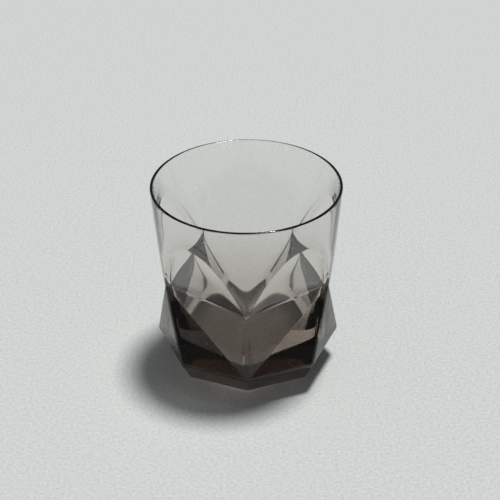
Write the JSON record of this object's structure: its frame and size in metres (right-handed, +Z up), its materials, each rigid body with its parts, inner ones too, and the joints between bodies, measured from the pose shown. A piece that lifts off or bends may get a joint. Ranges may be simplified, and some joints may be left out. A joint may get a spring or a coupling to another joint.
{
  "type": "whiskey tumbler",
  "caption": "Smoke-grey glass tumbler with a thin round rim, flat upper panels, a faceted lower half with a wide girdle, and a thick flat foot.",
  "frame": {"origin": "centre of the foot, on the surface that the glass stands on", "axes": "+Z up along the glass's axis; one waist corner faces -Y"},
  "size_m": [0.087, 0.087, 0.094],
  "materials": {
    "smoke_glass": "polished clear smoke-grey glass"
  },
  "bodies": {
    "root": {"tumbler_glass": "smoke_glass"}
  },
  "joints": []
}
